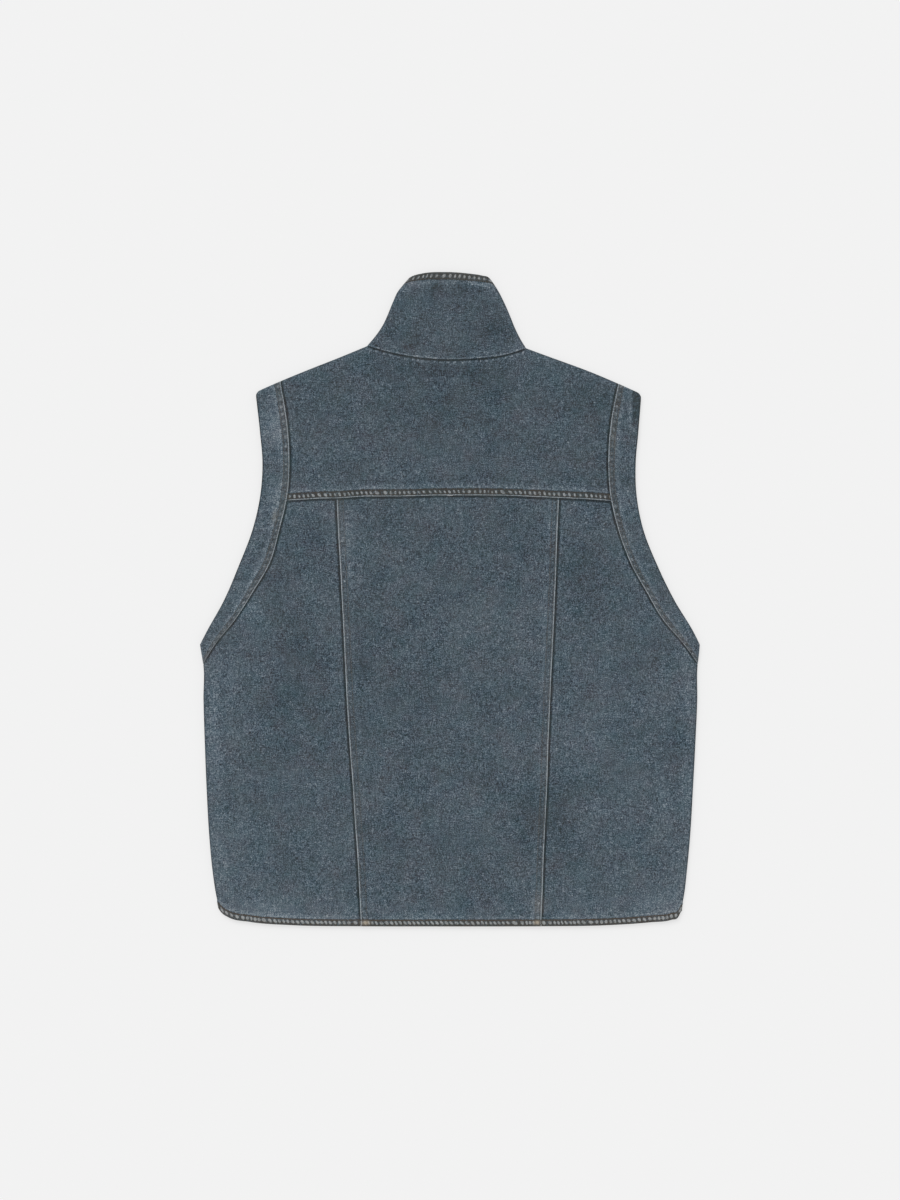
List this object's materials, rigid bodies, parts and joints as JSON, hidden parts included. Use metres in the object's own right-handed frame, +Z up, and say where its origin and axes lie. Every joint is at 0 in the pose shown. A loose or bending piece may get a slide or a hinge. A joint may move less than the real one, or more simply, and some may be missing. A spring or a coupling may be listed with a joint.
{
  "type": "denim vest",
  "caption": "Sleeveless stand-collar vest of faded blue-grey denim, laid flat with its back up: yoke, long back panels, bound armholes, turned hem and a front zip underneath.",
  "frame": {"origin": "on the surface the vest lies on, under the middle of its outline", "axes": "+X towards the wearer's right, +Y from the hem towards the collar, +Z up out of the vest's back, away from the surface"},
  "size_m": [0.5502, 0.72, 0.0097],
  "materials": {
    "denim": "matt washed denim with faded seams",
    "band_denim": "matt washed denim, more faded",
    "collar_denim": "matt washed denim",
    "front_denim": "matt washed denim with faded seams",
    "zip_tape": "matt woven tape",
    "zip_metal": "dull antique metal"
  },
  "bodies": {
    "vest": {"back_yoke": "denim", "back_centre": "denim", "back_side_left": "denim", "back_side_right": "denim", "armhole_band_left": "band_denim", "armhole_band_right": "band_denim", "collar": "collar_denim", "front_left": "front_denim", "front_right": "front_denim", "zip_tape_left": "zip_tape", "zip_tape_right": "zip_tape", "zip_chain": "zip_metal", "zip_box": "zip_metal", "zip_slider": "zip_metal"},
    "pull": {"zip_pull": "zip_metal"}
  },
  "joints": [
    {"name": "pull_hinge", "type": "hinge", "parent": "vest", "child": "pull", "pos_m": [0, 0.275, 0.002], "axis": [1, 0, 0], "range_deg": [0, 170]}
  ]
}
